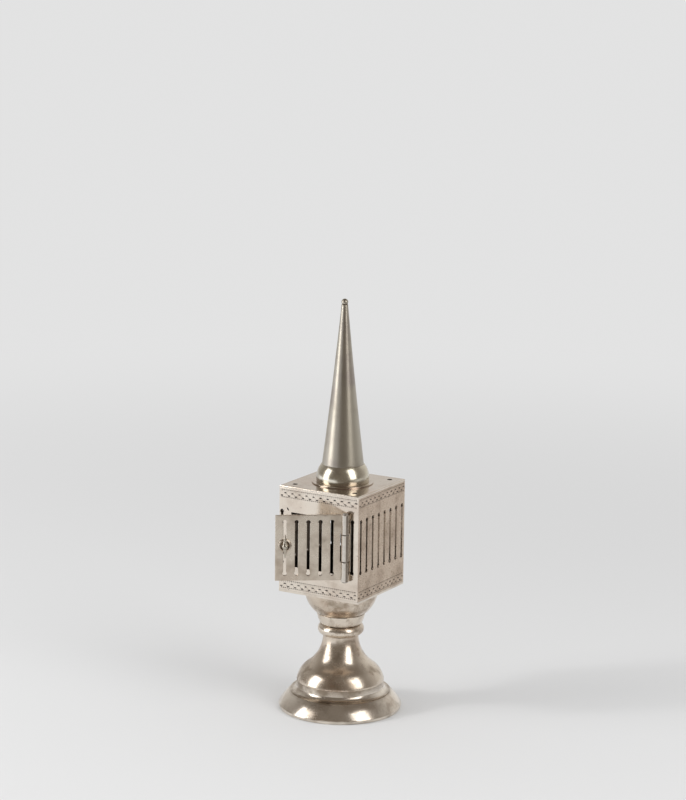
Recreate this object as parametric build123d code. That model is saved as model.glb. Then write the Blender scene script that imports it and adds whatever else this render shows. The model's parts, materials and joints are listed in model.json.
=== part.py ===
from build123d import *
from math import asin, atan, cos, degrees, floor, hypot, radians, sin, sqrt
import os

# A besamim spice tower: a pierced square box with a hinged door, on a turned foot and under a spire.
# Millimetres. The origin is the middle of the foot on the table, +Z is up and the door is on the -Y side.

# Box: four mitred walls between a floor plate and a top plate
box_side = 32.5
box_height = 38.9
wall_sheet = 0.8
plate_sheet = 0.8
plate_edge_round = 0.3

# Pierced pattern: slots with a round eye at each end
slot_pitch = 4.12
slot_width = 1.0
slot_eye = 1.5
slot_corner_gap = 1.7   # least distance from a corner of the box to the middle of a slot
rail_bottom = 10.3      # plain wall under the slots
rail_top = 8.6          # plain wall over the slots

# Doorway in the front wall, and the door that laps over it
stile_latch = 4.95      # wall on the latch side of the doorway
stile_hinge = 6.95      # wall on the hinge side of the doorway
door_side_lap = 1.2     # the door covers the latch stile by this much
door_rail = 1.8         # plain door over and under its slots
door_sill_lap = 1.3     # the door covers the wall under the doorway by this much
door_head_lap = 2.5     # and the wall over it by this much
door_sheet = 0.8
door_gap = 0.2          # between the shut door and the wall
door_slot_start = 4.55  # hinge axis to the first slot of the door
door_slot_edge = 2.4    # least distance from the free edge to the middle of a slot
door_ajar = 35.0        # degrees that the door stands open at rest

# Hinge of three knuckles on one pin
knuckle_radius = 1.4
knuckle_gap = 0.2       # between one knuckle and the next
knuckle_overhang = 0.3  # the outer knuckles pass the ends of the door by this much
middle_knuckle = 9.6
knuckle_foot = 1.5      # width of the foot that holds the middle knuckle on the wall
notch_clearance = 0.2   # between that foot and the notch in the door
hinge_inset = 2.6       # edge of the doorway to the hinge axis
pin_radius = 0.6
pin_clearance = 0.05
pin_head_radius = 1.0
pin_head_height = 0.4
pin_head_round = 0.25

# Turn catch on the last slot of the door
catch_rise = 1.0        # middle of the slot to the spindle
knob_radius = 1.0
knob_half_length = 4.2
knob_tip_radius = 0.22
knob_waist_radius = 0.6  # where the tapered ends meet the ball
knob_lift = 1.55        # face of the door to the middle of the knob
rosette_radius = 2.3
rosette_rim = 0.95      # width of the rounded rim
rosette_height = 0.7
rosette_floor = 0.2
spindle_radius = 0.43
spindle_clearance = 0.05
catch_washer_radius = 1.5
catch_washer_sheet = 0.3
tongue_width = 1.5
tongue_sheet = 0.7
tongue_hold = 1.4       # how far the turned tongue reaches behind the latch stile
tongue_gap = 0.25       # between the tongue and the back of the wall
rivet_radius = 0.7
rivet_height = 0.35
rivet_round = 0.22

# Foot: base wire, spun moulding and spun bell
foot_sheet = 0.9
rim_height = 1.3
rim_width = 2.5
rim_setback = 0.3
rim_round = 0.45
ovolo_run = 4.2         # from the ledge out to the base wire
ovolo_height = 5.0
ovolo_bulge = 0.38
step_ledge = 0.35
step_run = 2.35
step_height = 3.8
step_hollow = 0.8       # how far the side of the step curves in
seat_width = 1.25       # the ring that the bell stands on
lip_overhang = 0.45     # the bell passes this ring by this much
lip_radius = 15.75
lip_height = 0.5
lip_lean = 12.0         # degrees between the side of the bell at its lip and the upright
shoulder_round = 9.0
neck_radius = 6.35
bell_height = 16.65     # from the lip to the top of the neck

# Stem: knop, collar and the cup under the box
knop_height = 4.1
knop_radius = 8.3
knop_foot_radius = 6.45
knop_top_radius = 6.7
knop_belly = 2.3        # height of the widest point
collar_height = 3.9
collar_foot_radius = 7.45
collar_top_radius = 8.75
collar_swell = 0.15     # how far the side of the collar curves out
cup_height = 9.05
cup_radius = 13.2
cup_foot_radius = 8.6
cup_sheet = 0.9

# Spire: flange, turned base, hollow cone and finial
flange_radius = 11.0
flange_sheet = 0.4
base_foot_radius = 9.34
base_belly_radius = 9.45
base_top_radius = 7.6
base_height = 6.4
base_belly = 1.3        # height of the widest point
cone_radius = 7.45
cone_top_radius = 1.15
cone_height = 57.2
cone_hollow = 0.2       # how far the side of the cone curves in
cone_sheet = 0.7
spigot_height = 1.5
spigot_clearance = 0.1
finial_radius = 1.2
finial_lift = 0.85      # top of the cone to the middle of the ball
peg_radius = 0.6
peg_length = 3.0
peg_clearance = 0.05

# Threaded rods and their nuts, one pair through the stem and one at the spire
rod_radius = 1.5
rod_clearance = 0.05    # in the nuts and in the base of the spire
rod_hole_clearance = 0.25
rod_tail = 0.8          # what shows past a nut
rod_anchor = 4.0        # depth of the rod in the base of the spire
nut_flats = 5.5
nut_height = 2.0
washer_radius = 3.6
washer_sheet = 0.5

# Pennant holes in the corners of the top plate
pennant_hole_radius = 0.65
pennant_inset = 4.0     # from the edge of the plate to the middle of a hole

# Heights, stacked from the table up
moulding_bottom = rim_height
step_bottom = moulding_bottom + ovolo_height
bell_bottom = step_bottom + step_height
bell_foot = bell_bottom + lip_height
bell_top = bell_foot + bell_height
knop_top = bell_top + knop_height
cup_bottom = knop_top + collar_height
box_bottom = cup_bottom + cup_height
walls_bottom = box_bottom + plate_sheet
box_top = box_bottom + box_height
walls_top = box_top - plate_sheet
base_bottom = box_top + flange_sheet
cone_bottom = base_bottom + base_height
cone_top = cone_bottom + cone_height
slot_low = box_bottom + rail_bottom
slot_high = box_top - rail_top
slot_length = slot_high - slot_low
slot_middle = (slot_low + slot_high) / 2
catch_z = slot_middle + catch_rise

# Radii of the foot, chained from the lip of the bell outwards
seat_radius = lip_radius - lip_overhang
step_radius = seat_radius + step_run
ovolo_top_radius = step_radius + step_ledge
ovolo_foot_radius = ovolo_top_radius + ovolo_run
rod_hole = rod_radius + rod_hole_clearance

# Places on the front wall
front_y = -box_side / 2
doorway_left = front_y + stile_latch
doorway_right = box_side / 2 - stile_hinge
doorway_width = doorway_right - doorway_left
hinge_x = doorway_right + hinge_inset
hinge_y = front_y - door_gap - knuckle_radius
door_reach = hinge_x - doorway_left + door_side_lap
door_height = slot_length + 2 * door_rail
doorway_low = slot_middle - door_height / 2 + door_sill_lap
doorway_high = slot_middle + door_height / 2 - door_head_lap
door_back = front_y - door_gap
door_face = door_back - door_sheet
door_slots = floor((door_reach - door_slot_start - door_slot_edge) / slot_pitch) + 1
catch_x = hinge_x - door_slot_start - (door_slots - 1) * slot_pitch
hinge_axis = Axis((hinge_x, hinge_y, 0), (0, 0, 1))


def turned(*edges):
    # A solid of revolution about the tower's axis, from a section drawn as radius and height
    return revolve(Plane.XZ * make_face(edges), Axis.Z)


def post(radius, bottom, top):
    return Pos(0, 0, bottom) * extrude(Circle(radius), top - bottom)


def disc(radius, bottom, height, hole):
    return post(radius, bottom, bottom + height) - post(hole, bottom, bottom + height)


def rod_bore(bottom, top):
    return post(rod_hole, bottom, top)


def hex_nut(bottom):
    flats = RegularPolygon(nut_flats / 2, 6, major_radius=False)
    return Pos(0, 0, bottom) * extrude(flats - Circle(rod_radius + rod_clearance), nut_height)


def along_y(sketch, x, z, start_y, end_y):
    # A sketch drawn in the front view, with its solid running back from start_y to end_y
    plane = Plane((x, end_y, z), x_dir=(1, 0, 0), z_dir=(0, -1, 0))
    return extrude(plane * sketch, end_y - start_y)


def keyhole_slot():
    eye_spread = (slot_length - slot_eye) / 2
    slot = Rectangle(slot_width, slot_length - slot_eye)
    for end in (-1, 1):
        slot += Pos(0, end * eye_spread) * Circle(slot_eye / 2)
    return slot


# Foot and stem
def base_wire():
    radius = ovolo_foot_radius - rim_setback
    ring = disc(radius, 0, rim_height, radius - rim_width)
    outer_edges = ring.edges().filter_by(GeomType.CIRCLE).sort_by(SortBy.RADIUS)[-2:]
    return fillet(outer_edges, rim_round)


def moulding_body(inset):
    # The rounded base and the hollow step above it; inset gives the space inside the sheet
    chord = hypot(ovolo_run, ovolo_height)
    arc = chord**2 / (8 * ovolo_bulge) + ovolo_bulge / 2
    depth = (arc - ovolo_bulge) / chord
    centre_r = (ovolo_foot_radius + ovolo_top_radius) / 2 - depth * ovolo_height
    centre_z = (moulding_bottom + step_bottom) / 2 - depth * ovolo_run
    reach = arc - inset
    ledge_z = step_bottom - inset
    seat_z = bell_bottom - inset
    low_angle = asin((moulding_bottom - centre_z) / reach)
    high_angle = asin((ledge_z - centre_z) / reach)
    low_r = centre_r + reach * cos(low_angle)
    high_r = centre_r + reach * cos(high_angle)
    step_r = step_radius - inset
    seat_r = seat_radius - inset
    waist = ((step_r + seat_r) / 2 - step_hollow, (ledge_z + seat_z) / 2)
    return turned(
        Line((0, moulding_bottom), (low_r, moulding_bottom)),
        CenterArc((centre_r, centre_z), reach, degrees(low_angle), degrees(high_angle - low_angle)),
        Line((high_r, ledge_z), (step_r, ledge_z)),
        ThreePointArc((step_r, ledge_z), waist, (seat_r, seat_z)),
        Line((seat_r, seat_z), (0, seat_z)),
        Line((0, seat_z), (0, moulding_bottom)),
    )


def foot_moulding():
    opening = post(seat_radius - seat_width, moulding_bottom, bell_bottom)
    return moulding_body(0) - moulding_body(foot_sheet) - opening


def bell_body(inset):
    # Two arcs that meet on one tangent, the shoulder bulging and the neck hollow
    lean_out, lean_up = cos(radians(lip_lean)), sin(radians(lip_lean))
    spread = lip_radius - neck_radius + shoulder_round * (1 - lean_out)
    rise = bell_height + shoulder_round * lean_up
    turn = 2 * degrees(atan(spread / rise))
    neck_round = rise / sin(radians(turn)) - shoulder_round
    shoulder_arc = shoulder_round - inset
    neck_arc = neck_round + inset
    shoulder_centre = (lip_radius - shoulder_round * lean_out, bell_foot - shoulder_round * lean_up)
    neck_centre = (neck_radius + neck_round, bell_top)
    top_turn = degrees(asin(inset / neck_arc))
    foot_r = lip_radius - inset * lean_out
    foot_z = bell_foot - inset * lean_up
    top_r = neck_centre[0] - neck_arc * cos(radians(top_turn))
    return turned(
        Line((0, bell_bottom), (foot_r, bell_bottom)),
        Line((foot_r, bell_bottom), (foot_r, foot_z)),
        CenterArc(shoulder_centre, shoulder_arc, lip_lean, turn - lip_lean),
        CenterArc(neck_centre, neck_arc, 180 + top_turn, turn - top_turn),
        Line((top_r, bell_top - inset), (0, bell_top - inset)),
        Line((0, bell_top - inset), (0, bell_bottom)),
    )


def foot_bell():
    return bell_body(0) - bell_body(foot_sheet) - rod_bore(bell_bottom, bell_top)


def stem_knop():
    bead = turned(
        Line((0, bell_top), (knop_foot_radius, bell_top)),
        ThreePointArc(
            (knop_foot_radius, bell_top),
            (knop_radius, bell_top + knop_belly),
            (knop_top_radius, knop_top),
        ),
        Line((knop_top_radius, knop_top), (0, knop_top)),
        Line((0, knop_top), (0, bell_top)),
    )
    return bead - rod_bore(bell_top, knop_top)


def stem_collar():
    side = (
        (collar_foot_radius + collar_top_radius) / 2 + collar_swell,
        (knop_top + cup_bottom) / 2,
    )
    ring = turned(
        Line((0, knop_top), (collar_foot_radius, knop_top)),
        ThreePointArc((collar_foot_radius, knop_top), side, (collar_top_radius, cup_bottom)),
        Line((collar_top_radius, cup_bottom), (0, cup_bottom)),
        Line((0, cup_bottom), (0, knop_top)),
    )
    return ring - rod_bore(knop_top, cup_bottom)


def cup_body(inset):
    # The side is one arc that stands upright where it meets the box
    spread = cup_radius - cup_foot_radius
    arc = (spread**2 + cup_height**2) / (2 * spread)
    reach = arc - inset
    low_z = cup_bottom + inset
    low_angle = degrees(asin((box_bottom - low_z) / reach))
    low_r = cup_radius - arc + reach * cos(radians(low_angle))
    return turned(
        Line((0, low_z), (low_r, low_z)),
        CenterArc((cup_radius - arc, box_bottom), reach, -low_angle, low_angle),
        Line((cup_radius - inset, box_bottom), (0, box_bottom)),
        Line((0, box_bottom), (0, low_z)),
    )


def calyx_cup():
    return cup_body(0) - cup_body(cup_sheet) - rod_bore(cup_bottom, box_bottom)


# Box
def floor_plate():
    plate = Box(box_side, box_side, plate_sheet, align=(Align.CENTER, Align.CENTER, Align.MIN))
    return Pos(0, 0, box_bottom) * plate - rod_bore(box_bottom, walls_bottom)


def top_plate():
    plate = Box(box_side, box_side, plate_sheet, align=(Align.CENTER, Align.CENTER, Align.MIN))
    plate = Pos(0, 0, walls_top) * plate
    plate = fillet(plate.faces().sort_by(Axis.Z)[-1].edges(), plate_edge_round)
    spread = box_side - 2 * pennant_inset
    holes = GridLocations(spread, spread, 2, 2) * Circle(pennant_hole_radius)
    holes = Pos(0, 0, walls_top) * extrude(Sketch() + holes, plate_sheet)
    return plate - holes - rod_bore(walls_top, box_top)


def slot_columns():
    count = floor((box_side - 2 * slot_corner_gap) / slot_pitch) + 1
    return [(i - (count - 1) / 2) * slot_pitch for i in range(count)]


def plain_wall():
    # The front wall before it is pierced, cut at 45 degrees where it meets its neighbours
    back_y = front_y + wall_sheet
    outline = Polyline(
        (front_y, front_y), (-front_y, front_y), (-back_y, back_y), (back_y, back_y), close=True
    )
    return Pos(0, 0, walls_bottom) * extrude(make_face(outline), walls_top - walls_bottom)


def pierced(wall, columns):
    for x in columns:
        wall -= along_y(keyhole_slot(), x, slot_middle, front_y, front_y + wall_sheet)
    return wall


def side_wall(turn):
    return pierced(plain_wall(), slot_columns()).rotate(Axis.Z, turn)


def front_wall():
    eye = slot_eye / 2
    columns = slot_columns()
    kept = [
        x
        for x in columns
        if x in (columns[0], columns[-1])
        or x + eye < doorway_left - door_side_lap
        or x - eye > hinge_x + knuckle_radius
    ]
    doorway = Rectangle(doorway_width, doorway_high - doorway_low)
    middle_x = (doorway_left + doorway_right) / 2
    middle_z = (doorway_low + doorway_high) / 2
    doorway = along_y(doorway, middle_x, middle_z, front_y, front_y + wall_sheet)
    return pierced(plain_wall(), kept) - doorway


# Hinge and door, drawn shut and then swung open
hinge_length = door_height + 2 * knuckle_overhang
outer_knuckle = (hinge_length - middle_knuckle) / 2 - knuckle_gap


def swung(piece):
    return piece.rotate(hinge_axis, door_ajar)


def on_hinge(radius, bottom, height):
    return Pos(hinge_x, hinge_y, bottom) * extrude(Circle(radius), height)


def knuckle(bottom, length):
    return on_hinge(knuckle_radius, bottom, length) - pin_hole()


def pin_hole():
    return on_hinge(pin_radius + pin_clearance, slot_middle - hinge_length / 2, hinge_length)


def box_knuckle():
    bottom = slot_middle - middle_knuckle / 2
    tube = on_hinge(knuckle_radius, bottom, middle_knuckle)
    foot = along_y(Rectangle(knuckle_foot, middle_knuckle), hinge_x, slot_middle, hinge_y, front_y)
    return tube + foot - pin_hole()


def door_knuckle(end):
    middle = slot_middle + end * (hinge_length - outer_knuckle) / 2
    return swung(knuckle(middle - outer_knuckle / 2, outer_knuckle))


def hinge_pin():
    half = hinge_length / 2
    pin = on_hinge(pin_radius, slot_middle - half, hinge_length)
    for end in (-1, 1):
        low = slot_middle + half if end > 0 else slot_middle - half - pin_head_height
        head = on_hinge(pin_head_radius, low, pin_head_height)
        rim = head.edges().filter_by(GeomType.CIRCLE).sort_by(Axis.Z)[-1 if end > 0 else 0]
        pin += fillet(rim, pin_head_round)
    return pin


def door_panel():
    left = hinge_x - door_reach
    middle_x = (left + hinge_x) / 2
    panel = along_y(Rectangle(door_reach, door_height), middle_x, slot_middle, door_face, door_back)
    columns = [hinge_x - door_slot_start - i * slot_pitch for i in range(door_slots)]
    slots = Sketch() + [Pos(x, 0) * keyhole_slot() for x in columns]
    panel -= along_y(slots, 0, slot_middle, door_face, door_back)
    panel -= on_hinge(knuckle_radius, slot_middle - hinge_length / 2, hinge_length)
    foot_corner = hypot(knuckle_foot / 2, front_y - hinge_y)
    notch_height = middle_knuckle + 2 * knuckle_gap
    notch = on_hinge(foot_corner + notch_clearance, slot_middle - notch_height / 2, notch_height)
    return swung(panel - notch)


# Turn catch: a dished rosette, a knob with its spindle, an inner washer and the tongue
knob_y = door_face - knob_lift
tongue_front = front_y + wall_sheet + tongue_gap
tongue_back = tongue_front + tongue_sheet
spindle_hole = spindle_radius + spindle_clearance


def along_spindle(sketch, start_y, end_y):
    return along_y(sketch, catch_x, catch_z, start_y, end_y)


def latch_rosette():
    # A thin disc with a rounded rim, drawn about an upright axis and laid on the face of the door
    inner = rosette_radius - rosette_rim
    crest = (rosette_radius - rosette_rim / 2, rosette_height)
    ring = turned(
        Line((spindle_hole, 0), (rosette_radius, 0)),
        ThreePointArc((rosette_radius, 0), crest, (inner, rosette_floor)),
        Line((inner, rosette_floor), (spindle_hole, rosette_floor)),
        Line((spindle_hole, rosette_floor), (spindle_hole, 0)),
    )
    return swung(Pos(catch_x, door_face, catch_z) * Rot(90, 0, 0) * ring)


def latch_washer():
    ring = Circle(catch_washer_radius) - Circle(spindle_hole)
    return swung(along_spindle(ring, door_back, door_back + catch_washer_sheet))


def latch_knob():
    waist_z = sqrt(knob_radius**2 - knob_waist_radius**2)
    tip = (knob_tip_radius, knob_half_length)
    waist = (knob_waist_radius, waist_z)
    section = [
        Line((0, knob_half_length), tip),
        Line(tip, waist),
        ThreePointArc(waist, (knob_radius, 0), (knob_waist_radius, -waist_z)),
        Line((knob_waist_radius, -waist_z), (knob_tip_radius, -knob_half_length)),
        Line((knob_tip_radius, -knob_half_length), (0, -knob_half_length)),
        Line((0, -knob_half_length), (0, knob_half_length)),
    ]
    knob = Pos(catch_x, knob_y, catch_z) * turned(*section)
    spindle = along_spindle(Circle(spindle_radius), knob_y, tongue_back)
    rivet = along_spindle(Circle(rivet_radius), tongue_back, tongue_back + rivet_height)
    rivet = fillet(rivet.edges().sort_by(Axis.Y)[-1], rivet_round)
    return swung(knob + spindle + rivet)


def latch_tongue():
    # A flat bar that hangs from its hub while the catch is off
    reach = catch_x - doorway_left + tongue_hold
    bar = Pos(0, -reach / 2) * Rectangle(tongue_width, reach) + Circle(tongue_width / 2)
    tongue = along_spindle(bar, tongue_front, tongue_back)
    hub_front = door_back + catch_washer_sheet
    hub = along_spindle(Circle(tongue_width / 2), hub_front, tongue_front)
    return swung(tongue + hub - along_spindle(Circle(spindle_hole), hub_front, tongue_back))


# Spire
def spire_base():
    belly = (base_belly_radius, base_bottom + base_belly)
    block = turned(
        Line((0, base_bottom), (base_foot_radius, base_bottom)),
        ThreePointArc((base_foot_radius, base_bottom), belly, (base_top_radius, cone_bottom)),
        Line((base_top_radius, cone_bottom), (0, cone_bottom)),
        Line((0, cone_bottom), (0, base_bottom)),
    )
    spigot_radius = cone_radius - cone_sheet - cone_hollow - spigot_clearance
    spigot = post(spigot_radius, cone_bottom, cone_bottom + spigot_height)
    socket = post(rod_radius + rod_clearance, base_bottom, base_bottom + rod_anchor)
    return block + spigot - socket


def cone_body(inset):
    low_r = cone_radius - inset
    high_r = max(cone_top_radius - inset, peg_radius + peg_clearance)
    waist = ((low_r + high_r) / 2 - cone_hollow, (cone_bottom + cone_top) / 2)
    return turned(
        Line((0, cone_bottom), (low_r, cone_bottom)),
        ThreePointArc((low_r, cone_bottom), waist, (high_r, cone_top)),
        Line((high_r, cone_top), (0, cone_top)),
        Line((0, cone_top), (0, cone_bottom)),
    )


def spire_cone():
    return cone_body(0) - cone_body(cone_sheet)


def spire_finial():
    ball = Pos(0, 0, cone_top + finial_lift) * Sphere(finial_radius)
    keep = post(2 * finial_radius, cone_top, cone_top + finial_lift + finial_radius)
    peg = post(peg_radius, cone_top - peg_length, cone_top + finial_lift)
    return (ball & keep) + peg


# Rods and nuts that hold the stem and the spire
stem_seat = bell_top - foot_sheet
lower_nut_z = stem_seat - washer_sheet - nut_height
upper_nut_z = walls_bottom + washer_sheet
spire_nut_z = walls_top - washer_sheet - nut_height


def washer(bottom):
    return disc(washer_radius, bottom, washer_sheet, rod_hole)


nodes = {
    "foot_rim": base_wire(),
    "foot_moulding": foot_moulding(),
    "foot_bell": foot_bell(),
    "stem_knop": stem_knop(),
    "stem_collar": stem_collar(),
    "calyx_cup": calyx_cup(),
    "stem_rod": post(rod_radius, lower_nut_z - rod_tail, upper_nut_z + nut_height + rod_tail),
    "stem_lower_washer": washer(stem_seat - washer_sheet),
    "stem_lower_nut": hex_nut(lower_nut_z),
    "stem_upper_washer": washer(walls_bottom),
    "stem_upper_nut": hex_nut(upper_nut_z),
    "floor_plate": floor_plate(),
    "front_wall": front_wall(),
    "right_wall": side_wall(90),
    "back_wall": side_wall(180),
    "left_wall": side_wall(270),
    "top_plate": top_plate(),
    "hinge_box_knuckle": box_knuckle(),
    "hinge_pin": hinge_pin(),
    "door_panel": door_panel(),
    "door_lower_knuckle": door_knuckle(-1),
    "door_upper_knuckle": door_knuckle(1),
    "latch_rosette": latch_rosette(),
    "latch_washer": latch_washer(),
    "latch_knob": latch_knob(),
    "latch_tongue": latch_tongue(),
    "spire_flange": disc(flange_radius, box_top, flange_sheet, rod_hole),
    "spire_base": spire_base(),
    "spire_cone": spire_cone(),
    "spire_finial": spire_finial(),
    "spire_stud": post(rod_radius, spire_nut_z - rod_tail, base_bottom + rod_anchor),
    "spire_washer": washer(walls_top - washer_sheet),
    "spire_nut": hex_nut(spire_nut_z),
}

os.makedirs("parts", exist_ok=True)
for name, solid in nodes.items():
    export_step(solid, f"parts/{name}.step")
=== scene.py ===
import bmesh
import bpy
import json
from math import asin, atan, atan2, ceil, copysign, cos, exp, floor, hypot, pi, radians, sin, sqrt
from mathutils import Matrix, Vector
from mathutils.geometry import delaunay_2d_cdt


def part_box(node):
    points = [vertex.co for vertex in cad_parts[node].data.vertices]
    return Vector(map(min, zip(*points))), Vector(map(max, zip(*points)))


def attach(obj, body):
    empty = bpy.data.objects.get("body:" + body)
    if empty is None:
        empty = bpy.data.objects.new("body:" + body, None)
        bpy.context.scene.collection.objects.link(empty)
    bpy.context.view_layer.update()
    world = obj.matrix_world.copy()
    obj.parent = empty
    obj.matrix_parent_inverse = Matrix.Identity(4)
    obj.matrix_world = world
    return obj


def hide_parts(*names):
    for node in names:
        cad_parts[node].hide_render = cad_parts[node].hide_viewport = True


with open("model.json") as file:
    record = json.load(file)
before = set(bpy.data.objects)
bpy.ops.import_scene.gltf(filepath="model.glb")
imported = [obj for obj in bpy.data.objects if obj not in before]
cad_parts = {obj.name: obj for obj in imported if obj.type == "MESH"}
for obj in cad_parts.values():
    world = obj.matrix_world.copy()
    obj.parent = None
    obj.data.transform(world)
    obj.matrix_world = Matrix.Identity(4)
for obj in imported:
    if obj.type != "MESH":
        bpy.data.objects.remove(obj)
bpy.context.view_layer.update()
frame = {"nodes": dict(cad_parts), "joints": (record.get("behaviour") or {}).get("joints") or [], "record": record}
mm = 0.001
joints = {joint["name"]: joint for joint in frame["joints"]}
bodies = frame["record"]["behaviour"]["bodies"]
bodyOf = {node: body for body, nodes in bodies.items() for node in nodes}
slotOf = {part["node"]: part["material_slot"] for part in frame["record"]["subparts"]}
print("frame loaded:", len(frame["nodes"]), "nodes")


# Shaders: a socket that takes part in sums, and one way to add any node
class Wire:
    def __init__(self, tree, socket=None):
        self.tree = tree
        self.socket = socket

    def add(self, kind, settings={}, sockets={}, out=0):
        node = self.tree.nodes.new("ShaderNode" + kind)
        for key, value in settings.items():
            setattr(node, key, value)
        for key, value in sockets.items():
            if isinstance(value, Wire):
                self.tree.links.new(value.socket, node.inputs[key])
            else:
                node.inputs[key].default_value = value
        return Wire(self.tree, node.outputs[out] if node.outputs else None)

    def sum(self, operation, first, second):
        return self.add("Math", {"operation": operation}, {0: first, 1: second})

    def __add__(self, other):
        return self.sum("ADD", self, other)

    def __radd__(self, other):
        return self.sum("ADD", other, self)

    def __sub__(self, other):
        return self.sum("SUBTRACT", self, other)

    def __rsub__(self, other):
        return self.sum("SUBTRACT", other, self)

    def __mul__(self, other):
        return self.sum("MULTIPLY", self, other)

    def max(self, other):
        return self.sum("MAXIMUM", self, other)

    def rise(self, low, high):
        # 0 under low, 1 over high, smooth between
        ends = {"Value": self, "From Min": low, "From Max": high}
        return self.add("MapRange", {"interpolation_type": "SMOOTHSTEP"}, ends)

    def mix(self, first, second):
        # colour: first where this is 0, second where it is 1
        return self.add("Mix", {"data_type": "RGBA"}, {0: self, 6: first, 7: second}, 2)

    def times(self, scale):
        return self.add("VectorMath", {"operation": "MULTIPLY"}, {0: self, 1: scale})

    def turned(self, angles):
        turn = {"Vector": self, "Rotation": angles}
        return self.add("VectorRotate", {"rotation_type": "EULER_XYZ"}, turn)

    def noise(self, scale, detail=2.0, rough=0.5):
        sockets = {"Vector": self, "Scale": scale, "Detail": detail, "Roughness": rough}
        return self.add("TexNoise", {}, sockets)


def colour(r, g, b):
    return (r, g, b, 1)


def newMaterial(name):
    material = bpy.data.materials.new(name)
    material.use_nodes = True
    material.node_tree.nodes.clear()
    return material, Wire(material.node_tree)


def placeInMm(start):
    return start.add("TexCoord", out="Object").times((1000, 1000, 1000))


# pairs say where a mark begins and where it is full, in the value of its pattern, and those named
# Detail hold the detail and roughness of its noise
markShape = {
    "clouds": (0.40, 0.72), "blooms": (0.45, 0.75), "pits": (0.03, 0.09), "pitAreas": (0.50, 0.56),
    "pitAreaScale": 0.21, "pitDepth": 0.03, "freckleFrom": 0.63, "freckleFull": 0.80,
    "grimeAndShadeRough": 0.25, "streaks": (0.62, 0.74), "streakStretch": (0.1, 3.0, 3.0), "streakScale": 1.3,
    "streakTurns": ((0.3, 0.5, 0.2), (1.1, 0.2, 1.9)), "cloudDetail": (4, 0.62),
    "freckleDetail": (3, 0.7), "bloomDetail": (3, 0.55),
}
grainShape = {"latheScale": 4.5, "lineScale": 1.6, "stretch": 0.08, "squeeze": 2.6}


def scratches(place, angles):
    # thin streaks, long in one direction
    stretched = place.turned(angles).times(markShape["streakStretch"])
    return stretched.noise(markShape["streakScale"], 1).rise(*markShape["streaks"])


def metal(look, grain):
    # clean metal with clouds of tarnish, dark joints and painted shade in corners, pits, and a grain that grain()
    # gives
    material, start = newMaterial(look["name"])
    place = placeInMm(start)
    grimeAndShade = start.add("Attribute", {"attribute_name": "grimeAndShade"}, out="Fac")
    cloud = place.noise(look["cloudScale"], *markShape["cloudDetail"]).rise(*markShape["clouds"])
    freckleFrom = look.get("freckleFrom", markShape["freckleFrom"])
    freckles = place.noise(look["freckleScale"], *markShape["freckleDetail"])
    freckles = freckles.rise(freckleFrom, markShape["freckleFull"])
    cells = place.add("TexVoronoi", {}, {"Vector": place, "Scale": look["pitScale"]})
    pitAreas = place.noise(markShape["pitAreaScale"], 1).rise(*markShape["pitAreas"])
    pits = (1 - cells.rise(*markShape["pits"])) * pitAreas * look["pits"]
    first, second = (scratches(place, angles) for angles in markShape["streakTurns"])
    marks = first.max(second)
    dents = place.noise(look["dentScale"], 1)
    lines = grain(place)
    # the vertex mask darkens the tint: dirt at joints, painted shade in hollows and painted shadow under the lip
    stains = cloud * look["clouds"] + freckles * look["freckles"] + grimeAndShade * look["grimeAndShade"]
    tint = stains.rise(0.0, 1.0).mix(look["clean"], look["tarnish"])
    bloom = place.noise(look["bloomScale"], *markShape["bloomDetail"]).rise(*markShape["blooms"])
    tint = (bloom * look["blooms"]).mix(tint, look["bloom"])
    tint = pits.mix(tint, look["pit"])
    rough = look["rough"] + cloud * look["roughClouds"] + lines * look["roughGrain"]
    rough = rough + grimeAndShade * markShape["grimeAndShadeRough"] + marks * look["scratchRough"]
    height = dents * look["dentDepth"] + lines * look["grainDepth"]
    height = height - marks * look["scratches"] - pits * markShape["pitDepth"]
    bump = start.add("Bump", {}, {"Strength": 1.0, "Distance": mm, "Height": height})
    sockets = {"Base Color": tint, "Metallic": 1.0, "Roughness": rough, "Normal": bump}
    shader = start.add("BsdfPrincipled", {}, sockets)
    start.add("OutputMaterial", {}, {"Surface": shader})
    return material


def latheGrain(place):
    # fine rings around the upright axis
    away = place.add("VectorMath", {"operation": "LENGTH"}, {0: place.times((1, 1, 0))}, "Value")
    height = place.add("SeparateXYZ", {}, {0: place}, "Z")
    rings = place.add("CombineXYZ", {}, {"X": away, "Z": height})
    return rings.noise(grainShape["latheScale"])


def rolledGrain(place):
    # the fine level lines of rolled sheet
    stretch, squeeze = grainShape["stretch"], grainShape["squeeze"]
    return place.times((stretch, stretch, squeeze)).noise(grainShape["lineScale"])


def plateGrain(place):
    # the same lines on a level plate
    stretch, squeeze = grainShape["stretch"], grainShape["squeeze"]
    return place.times((stretch, squeeze, stretch)).noise(grainShape["lineScale"])


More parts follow.
